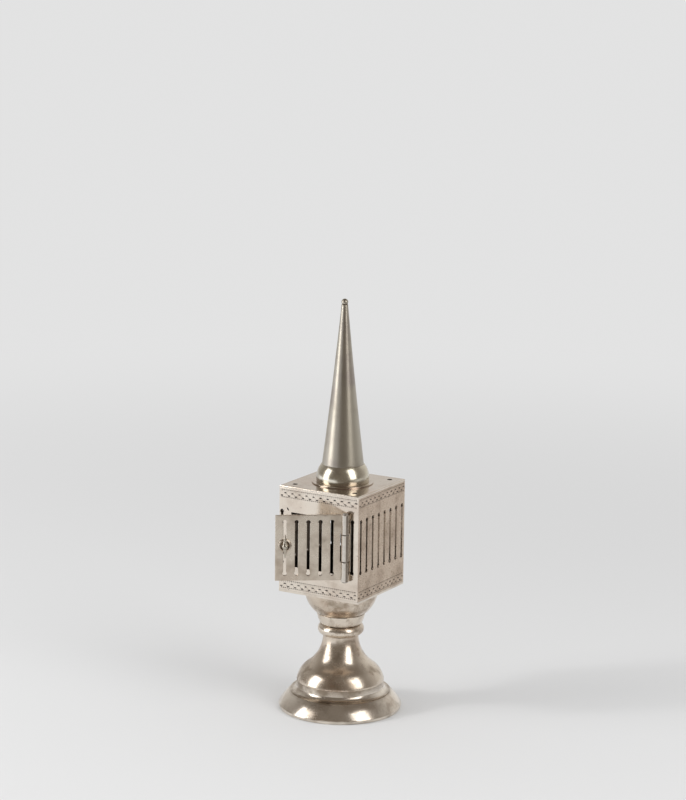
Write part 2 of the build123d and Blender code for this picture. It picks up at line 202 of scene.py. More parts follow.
footLook = {
    "name": "spunSilver", "clean": colour(0.74, 0.65, 0.545), "tarnish": colour(0.25, 0.185, 0.125),
    "clouds": 0.7, "cloudScale": 0.16, "freckles": 0.3, "freckleScale": 0.9,
    "bloom": colour(0.42, 0.28, 0.19), "blooms": 0.6, "bloomScale": 0.09,
    "pit": colour(0.06, 0.05, 0.04), "pits": 0.8, "pitScale": 0.22, "grimeAndShade": 0.9, "rough": 0.19,
    "roughClouds": 0.14, "roughGrain": 0.03, "dentScale": 0.16, "dentDepth": 0.10, "grainDepth": 0.0012,
    "scratches": 0.001, "scratchRough": 0.04,
}
boxLook = {
    "name": "sheetSilver", "clean": colour(0.80, 0.725, 0.635), "tarnish": colour(0.44, 0.34, 0.26),
    "clouds": 0.45, "cloudScale": 0.13, "freckles": 0.35, "freckleScale": 0.8,
    "bloom": colour(0.56, 0.43, 0.34), "blooms": 0.4, "bloomScale": 0.07,
    "pit": colour(0.08, 0.06, 0.05), "pits": 0.9, "pitScale": 0.4, "grimeAndShade": 0.6, "rough": 0.09,
    "roughClouds": 0.07, "roughGrain": 0.04, "dentScale": 0.12, "dentDepth": 0.03, "grainDepth": 0.0025,
    "scratches": 0.003, "scratchRough": 0.04,
}
# painted shade: a darker, browner copy of the front wall's silver for the other three walls, with mottled tarnish
# freckles
shadedSideLook = dict(
    boxLook, name="tarnishedShadedSheet", clean=colour(0.66, 0.54, 0.43), tarnish=colour(0.33, 0.235, 0.165),
    clouds=0.5, freckles=2.0, freckleScale=2.2, freckleFrom=0.52, pitScale=0.6, rough=0.24,
)
plateLook = dict(
    boxLook, name="plateSilver", clean=colour(0.59, 0.515, 0.44), rough=0.15, roughClouds=0.06,
    roughGrain=0.03, clouds=0.55, pits=1.0, dentDepth=0.03,
)
doorLook = {
    "name": "doorSilver", "clean": colour(0.71, 0.635, 0.54), "tarnish": colour(0.34, 0.26, 0.19),
    "clouds": 0.5, "cloudScale": 0.15, "freckles": 0.4, "freckleScale": 0.9,
    "bloom": colour(0.46, 0.35, 0.27), "blooms": 0.5, "bloomScale": 0.08,
    "pit": colour(0.08, 0.06, 0.05), "pits": 0.7, "pitScale": 0.3, "grimeAndShade": 0.6, "rough": 0.24,
    "roughClouds": 0.08, "roughGrain": 0.05, "dentScale": 0.14, "dentDepth": 0.05, "grainDepth": 0.0025,
    "scratches": 0.003, "scratchRough": 0.04,
}
spireLook = {
    "name": "spireSilver", "clean": colour(0.445, 0.408, 0.338), "tarnish": colour(0.25, 0.21, 0.155),
    "clouds": 0.35, "cloudScale": 0.14, "freckles": 0.2, "freckleScale": 0.9,
    "bloom": colour(0.31, 0.265, 0.255), "blooms": 0.65, "bloomScale": 0.07,
    "pit": colour(0.07, 0.06, 0.05), "pits": 0.35, "pitScale": 0.16, "grimeAndShade": 0.8, "rough": 0.3,
    "roughClouds": 0.07, "roughGrain": 0.0, "dentScale": 0.13, "dentDepth": 0.015, "grainDepth": 0.0,
    "scratches": 0.0, "scratchRough": 0.0,
}
catchLook = {
    "name": "catchSilver", "clean": colour(0.70, 0.63, 0.54), "tarnish": colour(0.22, 0.16, 0.11),
    "clouds": 0.3, "cloudScale": 0.5, "freckles": 0.3, "freckleScale": 1.6,
    "bloom": colour(0.42, 0.30, 0.20), "blooms": 0.3, "bloomScale": 0.4,
    "pit": colour(0.06, 0.05, 0.04), "pits": 0.3, "pitScale": 0.4, "grimeAndShade": 1.3, "rough": 0.13,
    "roughClouds": 0.08, "roughGrain": 0.02, "dentScale": 0.5, "dentDepth": 0.004, "grainDepth": 0.0006,
    "scratches": 0.001, "scratchRough": 0.04,
}
stemLook = dict(
    footLook, name="stemSilver", clean=colour(0.80, 0.715, 0.61), clouds=0.5, cloudScale=0.3,
    blooms=0.4, dentDepth=0.05,
)
baseLook = dict(
    footLook, name="baseSilver", clean=colour(0.84, 0.77, 0.68), tarnish=colour(0.31, 0.25, 0.19),
    clouds=0.6, bloom=colour(0.52, 0.42, 0.33), blooms=0.45, rough=0.15, roughClouds=0.1,
)
knobLook = dict(
    catchLook, name="knobSilver", clean=colour(0.50, 0.465, 0.395), clouds=0.4, rough=0.17,
)
hingeLook = dict(
    catchLook, name="hingeSilver", clean=colour(0.93, 0.885, 0.82), rough=0.08, clouds=0.05,
    freckles=0.1, blooms=0.1, dentDepth=0.002,
)
spireBaseLook = dict(
    spireLook, name="spireBaseSilver", clean=colour(0.67, 0.62, 0.505),
    tarnish=colour(0.42, 0.35, 0.25), rough=0.2,
)
steelLook = {
    "name": "drawnSteel", "clean": colour(0.42, 0.40, 0.37), "tarnish": colour(0.16, 0.12, 0.09),
    "clouds": 0.5, "cloudScale": 0.5, "freckles": 0.5, "freckleScale": 1.6,
    "bloom": colour(0.30, 0.24, 0.18), "blooms": 0.3, "bloomScale": 0.3,
    "pit": colour(0.05, 0.04, 0.03), "pits": 0.6, "pitScale": 0.5, "grimeAndShade": 0.8, "rough": 0.36,
    "roughClouds": 0.15, "roughGrain": 0.05, "dentScale": 0.5, "dentDepth": 0.01, "grainDepth": 0.002,
    "scratches": 0.003, "scratchRough": 0.04,
}
# the back faces and deep slot walls: near black, tarnish and painted shade inside the box
tarnishAndShadeInsideLook = {
    "name": "tarnishAndShadeInside", "clean": colour(0.085, 0.066, 0.05), "tarnish": colour(0.03, 0.024, 0.019),
    "clouds": 0.7, "cloudScale": 0.2, "freckles": 0.5, "freckleScale": 0.9,
    "bloom": colour(0.06, 0.04, 0.026), "blooms": 0.5, "bloomScale": 0.1,
    "pit": colour(0.02, 0.017, 0.014), "pits": 0.5, "pitScale": 0.4, "grimeAndShade": 0.5, "rough": 0.55,
    "roughClouds": 0.15, "roughGrain": 0.05, "dentScale": 0.3, "dentDepth": 0.02, "grainDepth": 0.002,
    "scratches": 0.003, "scratchRough": 0.04,
}
engravedLook = dict(tarnishAndShadeInsideLook, name="engravedLines", clean=colour(0.085, 0.07, 0.058), rough=0.42)

spunSilver = metal(footLook, latheGrain)
stemSilver = metal(stemLook, latheGrain)
baseSilver = metal(baseLook, latheGrain)
sheetSilver = metal(boxLook, rolledGrain)
doorSilver = metal(doorLook, rolledGrain)
spireSilver = metal(spireLook, latheGrain)
catchSilver = metal(catchLook, latheGrain)
drawnSteel = metal(steelLook, latheGrain)
tarnishAndShadeInside = metal(tarnishAndShadeInsideLook, rolledGrain)
engravedLines = metal(engravedLook, rolledGrain)
tarnishedShadedSheet = metal(shadedSideLook, rolledGrain)
plateSilver = metal(plateLook, plateGrain)
hingeSilver = metal(hingeLook, latheGrain)
knobSilver = metal(knobLook, latheGrain)
spireBaseSilver = metal(spireBaseLook, latheGrain)
print("materials made")


# Outlines, in millimetres: lists of points with arcs and eased corners
outlineShape = {
    "closest": 1e-5, "cornerSteps": 4, "cornerShare": 0.4, "roundInset": 0.29, "onAxis": 1e-6,
}


def arc(start, middle, end, step=0.22):
    # points from start to end on the circle through middle
    (ax, ay), (bx, by), (cx, cy) = start, middle, end
    aa, bb, cc = ax * ax + ay * ay, bx * bx + by * by, cx * cx + cy * cy
    spread = 2 * (ax * (by - cy) + bx * (cy - ay) + cx * (ay - by))
    ux = (aa * (by - cy) + bb * (cy - ay) + cc * (ay - by)) / spread
    uy = (aa * (cx - bx) + bb * (ax - cx) + cc * (bx - ax)) / spread
    first = atan2(ay - uy, ax - ux)
    sweep = (atan2(cy - uy, cx - ux) - first) % (2 * pi)
    if (atan2(by - uy, bx - ux) - first) % (2 * pi) > sweep:
        sweep -= 2 * pi
    return circleArc(ux, uy, hypot(ax - ux, ay - uy), first, sweep, step)


def circleArc(x, y, radius, first, sweep, step=0.22):
    count = max(3, ceil(abs(sweep) * radius / step))
    angles = [first + sweep * i / count for i in range(count + 1)]
    return [(x + radius * cos(angle), y + radius * sin(angle)) for angle in angles]


def tidyLoop(loop):
    # drops points that repeat the one before
    pairs = zip(loop, loop[-1:] + loop[:-1])
    return [(x, y) for (x, y), (bx, by) in pairs if hypot(x - bx, y - by) > outlineShape["closest"]]


def turnAt(loop, i):
    (ax, ay), (bx, by), (cx, cy) = loop[i - 1], loop[i], loop[(i + 1) % len(loop)]
    turn = atan2(cy - by, cx - bx) - atan2(by - ay, bx - ax)
    return (turn + pi) % (2 * pi) - pi


def eased(loop, ease, sharpest=0.45):
    # corners sharper than sharpest (radians) become small curves
    loop = tidyLoop(loop)
    result = []
    for i, (x, y) in enumerate(loop):
        if abs(turnAt(loop, i)) < sharpest:
            result.append((x, y))
            continue
        ends = []
        for nx, ny in (loop[i - 1], loop[(i + 1) % len(loop)]):
            length = hypot(nx - x, ny - y)
            part = min(ease, outlineShape["cornerShare"] * length) / length
            ends.append((x + (nx - x) * part, y + (ny - y) * part))
        corner = (ends[0], (x, y), ends[1])
        for k in range(outlineShape["cornerSteps"] + 1):
            t = k / outlineShape["cornerSteps"]
            weights = ((1 - t) ** 2, 2 * t * (1 - t), t * t)
            result.append(tuple(sum(w * p[axis] for w, p in zip(weights, corner)) for axis in (0, 1)))
    return tidyLoop(result)


def grown(loop, distance):
    # a counter-clockwise loop moved outwards
    result = []
    for i, (x, y) in enumerate(loop):
        normals = []
        sides = ((loop[i - 1], (x, y)), ((x, y), loop[(i + 1) % len(loop)]))
        for (ax, ay), (bx, by) in sides:
            length = hypot(bx - ax, by - ay)
            normals.append(((by - ay) / length, (ax - bx) / length))
        (ax, ay), (bx, by) = normals
        reach = distance / (1 + ax * bx + ay * by)
        result.append((x + (ax + bx) * reach, y + (ay + by) * reach))
    return result


# Meshes: turned pieces, sheet pieces, and what every piece needs at the end
grimeAndShadeShape = {"hollowTurn": 0.12, "atSeam": 0.5}


def spin(
    mesh, outline, placeAt=Matrix(), turns=144, ease=0.12, seams=(), seamWidth=0.3, hollowGrimeAndShade=0.4
):
    # turns a closed outline of (radius, height) around local Z; a vertex mask darkens the hollows, partly grime
    # and partly painted shade, and the heights given for dark bands: joints, and painted shadow under a lip
    outline = eased(outline, ease)
    area = sum(p[0] * q[1] - q[0] * p[1] for p, q in zip(outline, outline[1:] + outline[:1]))
    if area < 0:
        outline.reverse()
    layers = mesh.verts.layers.float
    layer = layers.get("grimeAndShade") or layers.new("grimeAndShade")
    hollows = [max(0, -turnAt(outline, i)) for i in range(len(outline))]
    rings = []
    for x, y in outline:
        dirt = 0
        for (hx, hy), hollow in zip(outline, hollows):
            if hollow > grimeAndShadeShape["hollowTurn"]:
                gap = (hx - x) ** 2 + (hy - y) ** 2
                dirt += hollowGrimeAndShade * hollow * exp(-gap / seamWidth**2)
        for seam in seams:
            dirt += grimeAndShadeShape["atSeam"] * exp(-(((y - seam) / seamWidth) ** 2))
        count = turns if x > outlineShape["onAxis"] else 1
        ring = []
        for i in range(count):
            angle = 2 * pi * i / turns
            vert = mesh.verts.new(placeAt @ Vector((x * cos(angle), x * sin(angle), y)))
            vert[layer] = min(1, dirt)
            ring.append(vert)
        rings.append(ring)
    for ring, following in zip(rings, rings[1:] + rings[:1]):
        if len(ring) == len(following) == 1:
            continue
        for i in range(turns):
            j = (i + 1) % turns
            corners = [ring[i % len(ring)], ring[j % len(ring)]]
            corners += [following[j % len(following)], following[i % len(following)]]
            mesh.faces.new(list(dict.fromkeys(corners)))


def finishPiece(name, mesh, looks, node, sharpest=38):
    # node is the CAD node that this piece stands for; the mesh is in millimetres
    bmesh.ops.recalc_face_normals(mesh, faces=mesh.faces)
    bmesh.ops.scale(mesh, vec=(mm, mm, mm), verts=mesh.verts)
    for line in mesh.edges:
        indices = {side.material_index for side in line.link_faces}
        line.smooth = len(indices) == 1 and line.calc_face_angle(0) < radians(sharpest)
    for side in mesh.faces:
        side.smooth = True
    data = bpy.data.meshes.new(name)
    mesh.to_mesh(data)
    mesh.free()
    for look in looks:
        data.materials.append(look)
    piece = bpy.data.objects.new(name, data)
    bpy.context.scene.collection.objects.link(piece)
    even = piece.modifiers.new("evenNormals", "WEIGHTED_NORMAL")
    even.keep_sharp = True
    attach(piece, bodyOf[node])
    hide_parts(node)
    return piece


def turnedPiece(name, node, outline, look, **spinning):
    mesh = bmesh.new()
    spin(mesh, outline, **spinning)
    return finishPiece(name, mesh, [look], node)


def nodeSize(node):
    # radius, bottom and top of a node on the tower's axis
    low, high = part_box(node)
    return high.x / mm, low.z / mm, high.z / mm


def stitch(mesh, first, second, index):
    for i in range(len(first)):
        j = (i + 1) % len(first)
        mesh.faces.new((first[i], first[j], second[j], second[i])).material_index = index


def flatFace(mesh, loops, vertAt, index):
    # fills the first loop around the others, and gives the vertices of each loop
    points = [p for loop in loops for p in loop]
    polygons = []
    for loop in loops:
        first = sum(len(p) for p in polygons)
        polygons.append(list(range(first, first + len(loop))))
    flat = [Vector(p) for p in points]
    filled = delaunay_2d_cdt(flat, [], polygons, 0, 1e-7)
    made, triangles, sources, owners = filled[0], filled[2], filled[3], filled[5]
    verts = [mesh.verts.new(vertAt(p.x, p.y)) for p in made]
    for triangle, owner in zip(triangles, owners):
        if owner == [0]:
            mesh.faces.new([verts[i] for i in triangle]).material_index = index
    where = {source: verts[i] for i, group in enumerate(sources) for source in group}
    return [[where[i] for i in polygon] for polygon in polygons]


# material slots of a sheet piece; inside is near black, painted shade on the back faces and deep in the holes
face, engraved, inside, edge = range(4)


def sheetPiece(name, node, sheet, placeAt, looks):
    # flat sheet with holes and engraved cuts: local z points out of its face
    mesh = bmesh.new()
    thick, ease, holeEase = sheet["thick"], sheet["ease"], sheet["holeEase"]
    mitre, rimLook = sheet.get("mitre", 0), sheet.get("rim", face)

    def spot(depth):
        return lambda x, y: placeAt @ Vector((x, y, -depth))

    def ring(loop, depth):
        return [mesh.verts.new(spot(depth)(x, y)) for x, y in loop]

    outline, holes, cuts = sheet["outline"], sheet["holes"], sheet.get("cuts", [])
    loops = [grown(outline, -ease)] + [grown(hole, holeEase) for hole in holes]
    front = flatFace(mesh, loops + [cut["rim"] for cut in cuts], spot(0), face)
    half = max(x for x, y in outline)

    def within(hole, depth):
        # a slot beside a mitre leans away from it
        reach = half - depth - boxShape["mitreLand"]
        return [(max(-reach, min(reach, x)), y) for x, y in hole] if mitre else hole

    backLoop = [(x - copysign(mitre, x), y) for x, y in outline]
    back = flatFace(mesh, [backLoop] + [within(hole, thick) for hole in holes], spot(thick), inside)
    soft = outlineShape["roundInset"] * ease  # where a round of this size is at 45 degrees
    middle = ring(grown(outline, -soft), soft)
    stitch(mesh, front[0], middle, edge)
    if mitre:
        stitch(mesh, middle, back[0], edge)
    else:
        lower = ring(outline, ease)
        stitch(mesh, middle, lower, edge)
        stitch(mesh, lower, back[0], edge)
    soft = outlineShape["roundInset"] * holeEase
    for hole, rim, end in zip(holes, front[1:], back[1:]):
        upper, lower = ring(grown(hole, soft), soft), ring(hole, holeEase)
        inner = ring(within(hole, sheet["bright"]), sheet["bright"])
        stitch(mesh, rim, upper, rimLook)
        stitch(mesh, upper, lower, rimLook)
        stitch(mesh, lower, inner, face)
        stitch(mesh, inner, end, inside)
    for cut, rim in zip(cuts, front[1 + len(holes):]):
        bottom = ring(cut["spine"], cut["depth"])
        for i in range(len(rim)):
            j = (i + 1) % len(rim)
            corners = [rim[i], rim[j], bottom[cut["ribs"][j]], bottom[cut["ribs"][i]]]
            mesh.faces.new(list(dict.fromkeys(corners))).material_index = cut["look"]
    return finishPiece(name, mesh, looks, node, sharpest=18)


def wobble(seed, amount):
    # the unevenness of hand work: the same number for the same seed
    return amount * (2 * ((sin(seed * 12.9898) * 43758.5453) % 1) - 1)


# Foot: base wire, moulding and bell
footShape = {
    "sheet": 0.9, "ovoloRun": 4.2, "ovoloHeight": 5.0, "ovoloBulge": 0.38, "groove": 0.3,
    "fillet": 0.35, "hollowWaist": (0.2, 1.35), "hollowBow": 0.38, "bowRun": 4.0, "lipShadowBelow": 1.2,
    "seatWidth": 1.25, "lipOverhang": 0.45, "lipHeight": 0.5, "lipLean": radians(12),
    "shoulderRound": 9.0, "neckRadius": 6.35, "rimWidth": 2.5,
}
boreRadius = 1.75
rimRadius, rimBottom, rimTop = nodeSize("foot_rim")
footRadius, mouldingBottom, mouldingTop = nodeSize("foot_moulding")
lipRadius, bellBottom, bellTop = nodeSize("foot_bell")
seatRadius = lipRadius - footShape["lipOverhang"]
bellFoot = bellBottom + footShape["lipHeight"]


def mouldingSide(inset):
    run, rise, bulge = footShape["ovoloRun"], footShape["ovoloHeight"], footShape["ovoloBulge"]
    topRadius, ledge = footRadius - run, mouldingBottom + rise
    chord = hypot(run, rise)
    radius = chord**2 / (8 * bulge) + bulge / 2
    depth = (radius - bulge) / chord
    centreX = (footRadius + topRadius) / 2 - depth * rise
    centreY = (mouldingBottom + ledge) / 2 - depth * run
    reach, groove = radius - inset, topRadius - footShape["groove"] - inset
    low = asin((mouldingBottom - centreY) / reach)
    high = asin((ledge - inset - centreY) / reach)
    fillet = (topRadius - inset, ledge + footShape["fillet"] - inset)
    out, up = footShape["hollowWaist"]
    waist = (seatRadius + out - inset, fillet[1] + up)
    over, drop = fillet[0] - waist[0], fillet[1] - waist[1]
    bow = footShape["hollowBow"] * (1 - inset / footShape["bowRun"])
    middle = ((fillet[0] + waist[0]) / 2 + bow * drop / 2, (fillet[1] + waist[1]) / 2 - bow * over / 2)
    ovolo = circleArc(centreX, centreY, reach, low, high - low) + [(groove, ledge - inset)]
    return ovolo + arc(fillet, middle, waist) + [(seatRadius - inset, mouldingTop - inset)]


def bellSide(inset):
    lean, shoulder = footShape["lipLean"], footShape["shoulderRound"]
    spread = lipRadius - footShape["neckRadius"] + shoulder * (1 - cos(lean))
    rise = bellTop - bellFoot + shoulder * sin(lean)
    turn = 2 * atan(spread / rise)
    neck = rise / sin(turn) - shoulder
    topTurn = asin(inset / (neck + inset))
    lowX, lowY = lipRadius - shoulder * cos(lean), bellFoot - shoulder * sin(lean)
    lower = circleArc(lowX, lowY, shoulder - inset, lean, turn - lean)
    highX = footShape["neckRadius"] + neck
    return lower + circleArc(highX, bellTop, neck + inset, pi + turn, topTurn - turn)


rimInner = rimRadius - footShape["rimWidth"]
rim = [(rimInner, rimBottom), (rimRadius, rimBottom), (rimRadius, rimTop), (rimInner, rimTop)]
turnedPiece("baseWire", "foot_rim", rim, baseSilver, ease=0.4)

innerSide = mouldingSide(footShape["sheet"])
mouthRadius = seatRadius - footShape["seatWidth"]
mouth = [(mouthRadius, mouldingTop), (mouthRadius, mouldingTop - footShape["sheet"])]
moulding = mouldingSide(0) + mouth + innerSide[::-1]
# the lower band is painted shadow in the cove under the bell's lip; the upper one is the joint
mouldingSeamAndLipShadow = (mouldingTop, mouldingTop - footShape["lipShadowBelow"])
mouldingGrimeAndShade = {"seams": mouldingSeamAndLipShadow, "seamWidth": 0.9, "hollowGrimeAndShade": 0.2}
turnedPiece("spunMoulding", "foot_moulding", moulding, baseSilver, **mouldingGrimeAndShade)

lip = [(lipRadius, bellBottom), (lipRadius, bellFoot)]
neckBore = [(boreRadius, bellTop), (boreRadius, bellTop - footShape["sheet"])]
bellMouth = lipRadius - footShape["sheet"] * cos(footShape["lipLean"])
bellInside = bellSide(footShape["sheet"])[::-1] + [(bellMouth, bellBottom)]
bell = lip + bellSide(0) + neckBore + bellInside
turnedPiece("spunBell", "foot_bell", bell, spunSilver, ease=0.2, seams=(bellTop,))

# Stem: knop, collar and cup
stemShape = {
    "knopFoot": 6.45, "knopTop": 6.7, "knopBelly": 2.3, "collarFoot": 7.45, "collarSwell": 0.15,
    "cupFoot": 8.6, "cupSheet": 0.9,
}
knopRadius, knopBottom, knopTop = nodeSize("stem_knop")
collarRadius, collarBottom, collarTop = nodeSize("stem_collar")
cupRadius, cupBottom, cupTop = nodeSize("calyx_cup")


def cupSide(inset):
    spread = cupRadius - stemShape["cupFoot"]
    radius = (spread**2 + (cupTop - cupBottom) ** 2) / (2 * spread)
    low = -asin((cupTop - cupBottom - inset) / (radius - inset))
    return circleArc(cupRadius - radius, cupTop, radius - inset, low, -low)


bead = [(boreRadius, knopBottom)]
bead += arc(
    (stemShape["knopFoot"], knopBottom),
    (knopRadius, knopBottom + stemShape["knopBelly"]),
    (stemShape["knopTop"], knopTop),
    step=0.15,
)
bead += [(boreRadius, knopTop)]
turnedPiece("turnedKnop", "stem_knop", bead, stemSilver, seams=(knopBottom, knopTop), seamWidth=0.45)

collarFoot = stemShape["collarFoot"]
collarMiddle = (collarFoot + collarRadius) / 2 + stemShape["collarSwell"]
collarSide = (collarMiddle, (collarBottom + collarTop) / 2)
collar = [(boreRadius, collarBottom)]
collar += arc((collarFoot, collarBottom), collarSide, (collarRadius, collarTop))
collar += [(boreRadius, collarTop)]
collarGrime = {"seams": (collarBottom,), "seamWidth": 0.45}
turnedPiece("turnedCollar", "stem_collar", collar, stemSilver, ease=0.4, **collarGrime)

cup = [(boreRadius, cupBottom)] + cupSide(0) + cupSide(stemShape["cupSheet"])[::-1]
cup += [(boreRadius, cupBottom + stemShape["cupSheet"])]
turnedPiece("spunCup", "calyx_cup", cup, spunSilver, seams=(cupTop,), seamWidth=0.7)
print("foot and stem turned")

# Spire: flange, base, cone and finial
spireShape = {
    "baseFoot": 9.34, "baseBellyHeight": 1.3, "baseBelly": 9.45, "baseTop": 7.6, "coneTop": 1.15,
    "coneHollow": 0.2, "coneSheet": 0.7, "finialRadius": 1.2, "coneTip": 0.3,
}
flangeRadius, flangeBottom, flangeTop = nodeSize("spire_flange")
coneRadius, coneBottom, coneTop = nodeSize("spire_cone")
finialTop = nodeSize("spire_finial")[2]
flange = [(boreRadius, flangeBottom), (flangeRadius, flangeBottom)]
flange += [(flangeRadius, flangeTop), (boreRadius, flangeTop)]
turnedPiece("spireDisc", "spire_flange", flange, plateSilver, ease=0.1)

foot = (spireShape["baseFoot"], flangeTop)
belly = (spireShape["baseBelly"], flangeTop + spireShape["baseBellyHeight"])
spireBase = [(0, flangeTop)] + arc(foot, belly, (spireShape["baseTop"], coneBottom)) + [(0, coneBottom)]
baseGrime = {"seams": (flangeTop,), "seamWidth": 0.2}
turnedPiece("turnedBase", "spire_base", spireBase, spireBaseSilver, ease=0.1, **baseGrime)


def coneSide(inset):
    foot, top = coneRadius - inset, max(spireShape["coneTop"] - inset, spireShape["coneTip"])
    middle = ((foot + top) / 2 - spireShape["coneHollow"], (coneBottom + coneTop) / 2)
    return arc((foot, coneBottom), middle, (top, coneTop), step=0.8)


cone = coneSide(0) + coneSide(spireShape["coneSheet"])[::-1]
turnedPiece("drawnCone", "spire_cone", cone, spireSilver, ease=0.04, seams=(coneTop,), seamWidth=0.25)

finialRadius = spireShape["finialRadius"]
ballMiddle = finialTop - finialRadius
ballLow = asin((coneTop - ballMiddle) / finialRadius)
ball = [(0, coneTop)] + circleArc(0, ballMiddle, finialRadius, ballLow, pi / 2 - ballLow, step=0.1)
ball += [(0, finialTop)]
ballGrime = {"seams": (coneTop,), "seamWidth": 0.2}
turnedPiece("finialBall", "spire_finial", ball, spireSilver, turns=64, ease=0.05, **ballGrime)
print("spire turned")

# Box: walls pierced with slots and engraved with two border bands, floor and top plate
boxShape = {
    "sheet": 0.8, "slotPitch": 4.12, "slotWidth": 1.0, "slotEye": 1.5, "slotCorner": 1.7,
    "railBottom": 10.3, "railTop": 8.6, "ease": 0.06, "holeEase": 0.08, "bright": 0.5,
    "brightStep": 0.02, "plateEase": 0.3, "floorEase": 0.15, "pennantInset": 4.0, "pennantHole": 0.65,
    "countersink": 0.3, "frontShift": -0.7, "mitreLand": 0.05,
}
uneven = {
    "slotHalf": 0.03, "slotEnd": 0.08, "slotAside": 0.05, "cutLength": 0.12, "cutWidth": 0.15,
    "cutSlant": 0.1,
}
bandShape = {
    "upper": 3.05, "lower": 2.7, "rowApart": 1.0, "pitch": 2.9, "borderAbove": 1.62,
    "borderBelow": 1.02, "borderPitch": 0.82, "dotsAbove": 1.15,
}
# length, width, slant and depth of each kind of cut
longCut = (1.25, 0.42, 0.0, 0.22)
linkCut = (0.7, 0.12, 0.6, 0.04)
backLinkCut = (0.7, 0.12, -0.6, 0.04)
borderCut = (0.55, 0.32, -0.1, 0.14)
dotCut = (0.26, 0.18, 0.0, 0.08)
boxLow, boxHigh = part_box("floor_plate")[0].z / mm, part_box("top_plate")[1].z / mm
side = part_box("top_plate")[1].x / mm * 2
wallLow, wallHigh = boxLow + boxShape["sheet"], boxHigh - boxShape["sheet"]
slotLow, slotHigh = boxLow + boxShape["railBottom"], boxHigh - boxShape["railTop"]


def onFront(y):
    # places a sheet drawn in the front view with its face at y
    return Matrix(((1, 0, 0, 0), (0, 0, -1, y), (0, 1, 0, 0), (0, 0, 0, 1)))


def keyhole(x, seed):
    # slot with a round eye at each end, cut by hand
    eye = boxShape["slotEye"] / 2
    half = boxShape["slotWidth"] / 2 + wobble(seed, uneven["slotHalf"])
    corner = asin(half / eye)
    low = slotLow + eye + wobble(seed + 1, uneven["slotEnd"])
    high = slotHigh - eye + wobble(seed + 2, uneven["slotEnd"])
    x += wobble(seed + 3, uneven["slotAside"])
    sweep = 2 * pi - 2 * corner
    bottom = circleArc(x, low, eye, pi / 2 + corner, sweep, step=0.2)
    return bottom + circleArc(x, high, eye, corner - pi / 2, sweep, step=0.2)


def slotColumns():
    count = floor((side - 2 * boxShape["slotCorner"]) / boxShape["slotPitch"]) + 1
    return [(i - (count - 1) / 2) * boxShape["slotPitch"] for i in range(count)]


def engravedCut(x, y, length, width, slant, depth, seed, look=engraved):
    # a short cut with pointed ends
    length *= (1 + wobble(seed, uneven["cutLength"])) / 2
    width *= (1 + wobble(seed + 1, uneven["cutWidth"])) / 2
    slant += wobble(seed + 2, uneven["cutSlant"])
    outline = [(-1, 0), (-0.45, -1), (0.45, -1), (1, 0), (0.45, 1), (-0.45, 1)]
    spine = [(-0.5, 0.25), (0.5, 0.25)]

    def laid(points):
        c, s = cos(slant), sin(slant)
        sized = [(px * length, py * width) for px, py in points]
        return [(x + px * c - py * s, y + px * s + py * c) for px, py in sized]

    # ribs gives the end of the spine that each point of the rim leads to
    ribs = [0, 0, 1, 1, 1, 0]
    return {"rim": laid(outline), "spine": laid(spine), "ribs": ribs, "depth": depth, "look": look}


def engravedBand(middle, seed):
    # two staggered rows of long cuts with thin links, between lines of short strokes and dots
    band = bandShape
    cuts = []
    pitch, lift = band["pitch"], band["rowApart"] / 2
    count = floor((side - pitch) / pitch) + 1
    for i in range(count):
        x = (i - (count - 1) / 2) * pitch
        for row in (-1, 1):
            rowX, rowY = x + row * pitch / 4, middle + row * lift
            cuts.append(engravedCut(rowX, rowY, *longCut, seed + 7 * i + 80 * row))
        cuts.append(engravedCut(x, middle, *linkCut, seed + 11 * i, edge))
        if i < count - 1:
            cuts.append(engravedCut(x + pitch / 2, middle, *backLinkCut, seed + 13 * i, edge))
    pitch = band["borderPitch"]
    count = floor((side - pitch) / pitch)
    for i in range(count):
        x = (i - (count - 1) / 2) * pitch
        cuts.append(engravedCut(x, middle + band["borderAbove"], *borderCut, seed + 3 * i))
        cuts.append(engravedCut(x, middle - band["borderBelow"], *borderCut, seed + 3 * i + 500))
        cuts.append(engravedCut(x, middle + band["dotsAbove"], *dotCut, seed + 5 * i + 700))
    return cuts


def wallSheet(holes, cuts, bright):
    # the slots' edges are bright from the face down to the depth bright; deeper they are painted dark as shade
    half = side / 2
    outline = [(-half, wallLow), (half, wallLow), (half, wallHigh), (-half, wallHigh)]
    return {
        "outline": outline, "holes": holes, "cuts": cuts, "thick": boxShape["sheet"],
        "ease": boxShape["ease"], "holeEase": boxShape["holeEase"], "mitre": boxShape["sheet"],
        "bright": bright,
    }


def wallCuts(seed):
    upper = engravedBand(boxHigh - bandShape["upper"], seed)
    return upper + engravedBand(boxLow + bandShape["lower"], seed + 300)


doorShape = {
    "stileLatch": 4.95, "stileHinge": 6.95, "sideLap": 1.2, "rail": 1.8, "sillLap": 1.3, "headLap": 2.5,
    "sheet": 0.8, "slotStart": 4.55, "slots": 5, "gap": 0.2, "knuckle": 1.4, "hingeEdge": 1.15,
    "notch": 1.68, "notchHeight": 10.0, "ease": 0.12, "bright": 0.4,
}
frontY = -side / 2
hinge = Vector(joints["door_hinge"]["pos_m"]) / mm
ajar = -radians(joints["door_hinge"]["range_deg"][0])
ajarTurn = Matrix.Translation(hinge) @ Matrix.Rotation(ajar, 4, "Z") @ Matrix.Translation(-hinge)
doorwayLeft = doorShape["stileLatch"] - side / 2
doorwayRight = side / 2 - doorShape["stileHinge"]
doorLow, doorHigh = slotLow - doorShape["rail"], slotHigh + doorShape["rail"]
doorLeft = doorwayLeft - doorShape["sideLap"]
doorFace = frontY - doorShape["gap"] - doorShape["sheet"]

